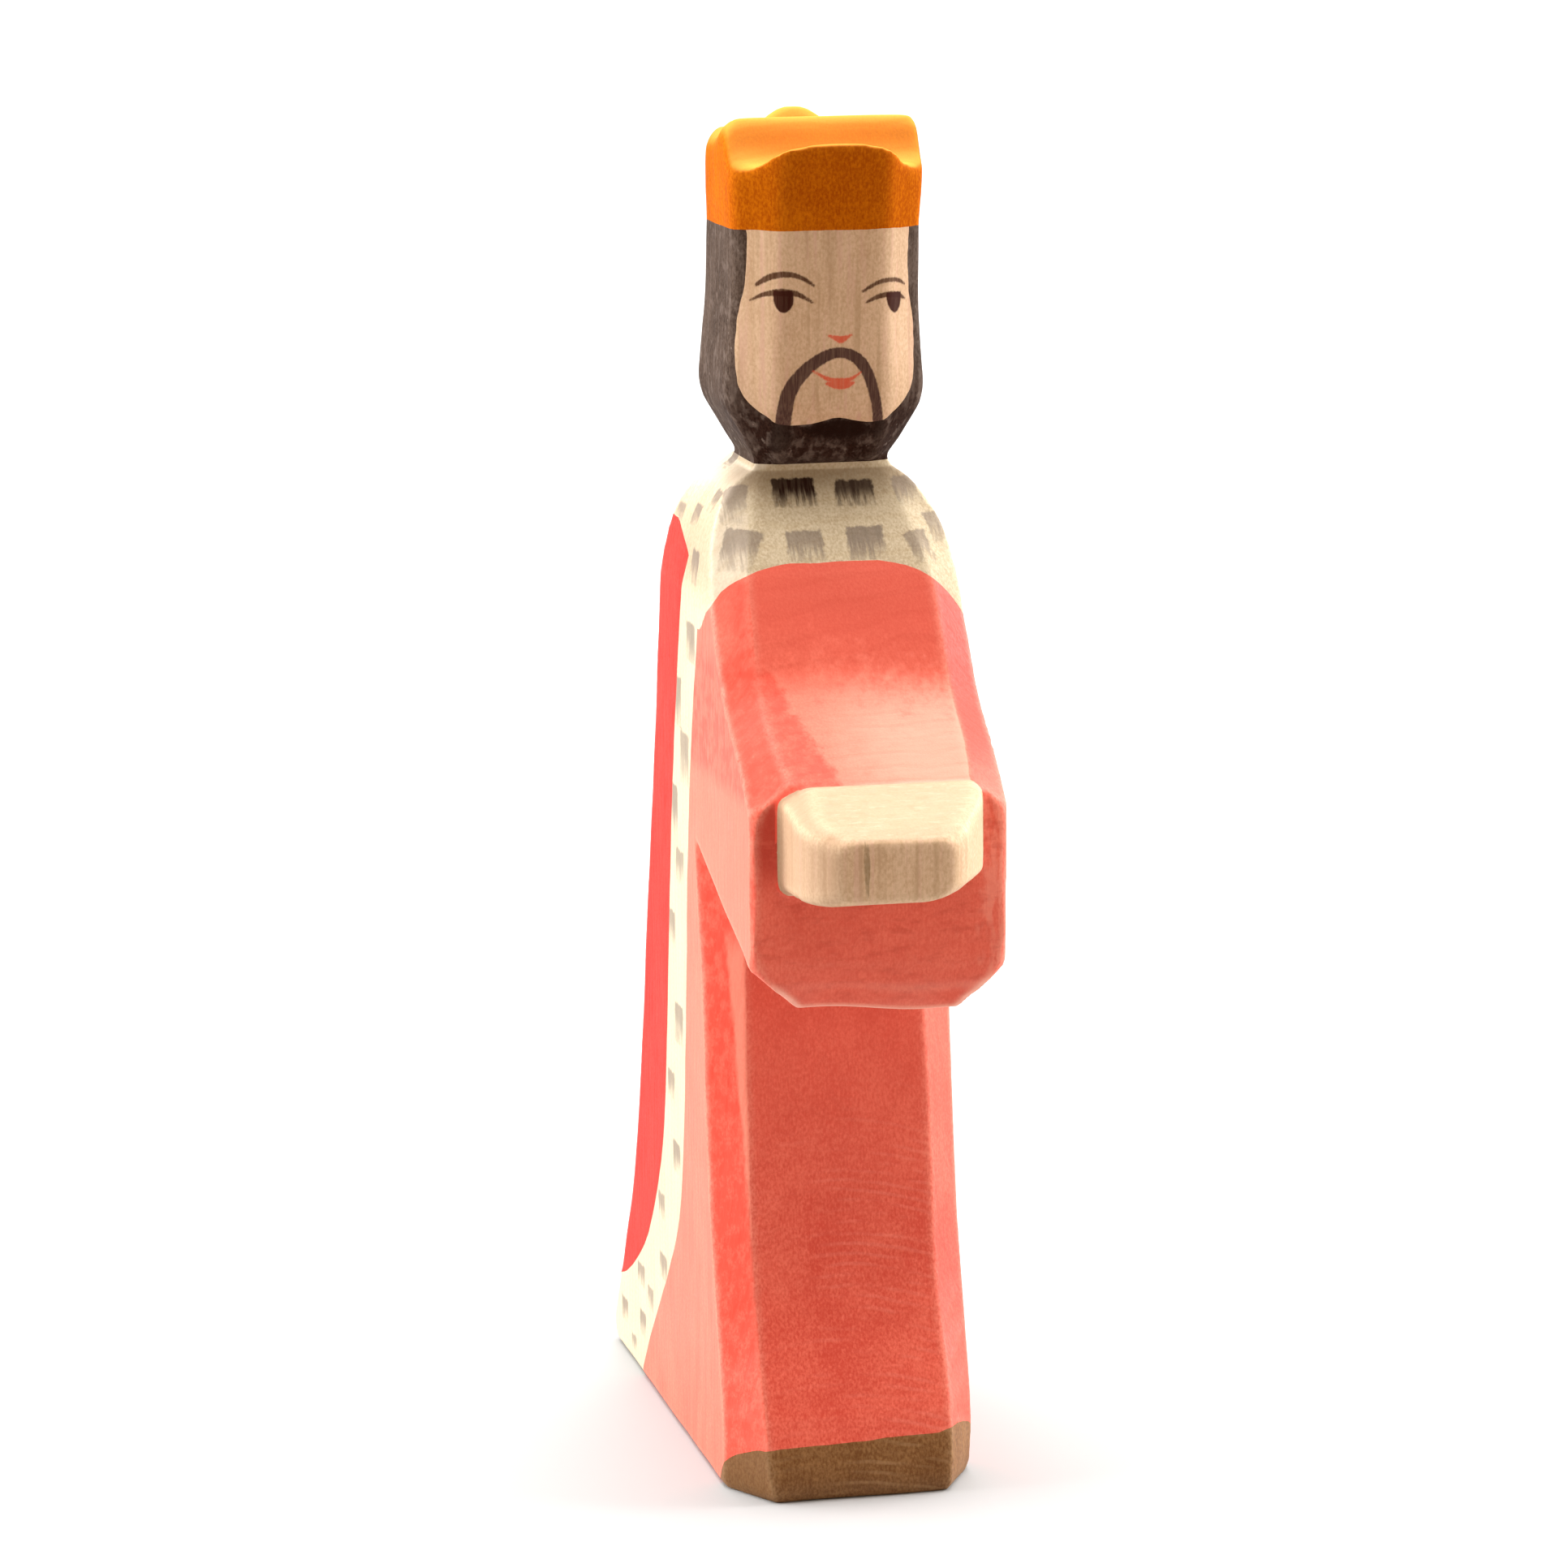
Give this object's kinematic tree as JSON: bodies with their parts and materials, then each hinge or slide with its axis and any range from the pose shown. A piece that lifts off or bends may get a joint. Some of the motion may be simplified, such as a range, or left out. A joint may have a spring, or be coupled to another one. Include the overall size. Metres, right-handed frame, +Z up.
{
  "type": "carved wooden king figure",
  "caption": "Free-standing king figure carved from a single board and stained, with a crown, beard, ermine collar, long cape and joined hands.",
  "frame": {"origin": "middle of the flat base, on the surface that the figure stands on", "axes": "+Z up to the crown, -Y the way the figure faces, +X across the board's thickness to the figure's left"},
  "size_m": [0.03, 0.0984, 0.1596],
  "materials": {
    "orange_stain": "satin wax over orange stain",
    "skin_wash": "satin wax over bare pale wood",
    "dark_hair_stain": "satin wax over grey-brown stain",
    "ermine_stain": "satin wax over cream wash with grey dabs",
    "cape_red_stain": "satin wax over red stain",
    "robe_red_stain": "satin wax over thin red stain",
    "brown_stain": "satin wax over brown stain"
  },
  "bodies": {
    "root": {"crown": "orange_stain", "face": "skin_wash", "hair_and_beard": "dark_hair_stain", "ermine_collar": "ermine_stain", "ermine_trim": "ermine_stain", "cape": "cape_red_stain", "robe": "robe_red_stain", "sleeves": "robe_red_stain", "hands": "skin_wash", "shoes": "brown_stain"}
  },
  "joints": []
}
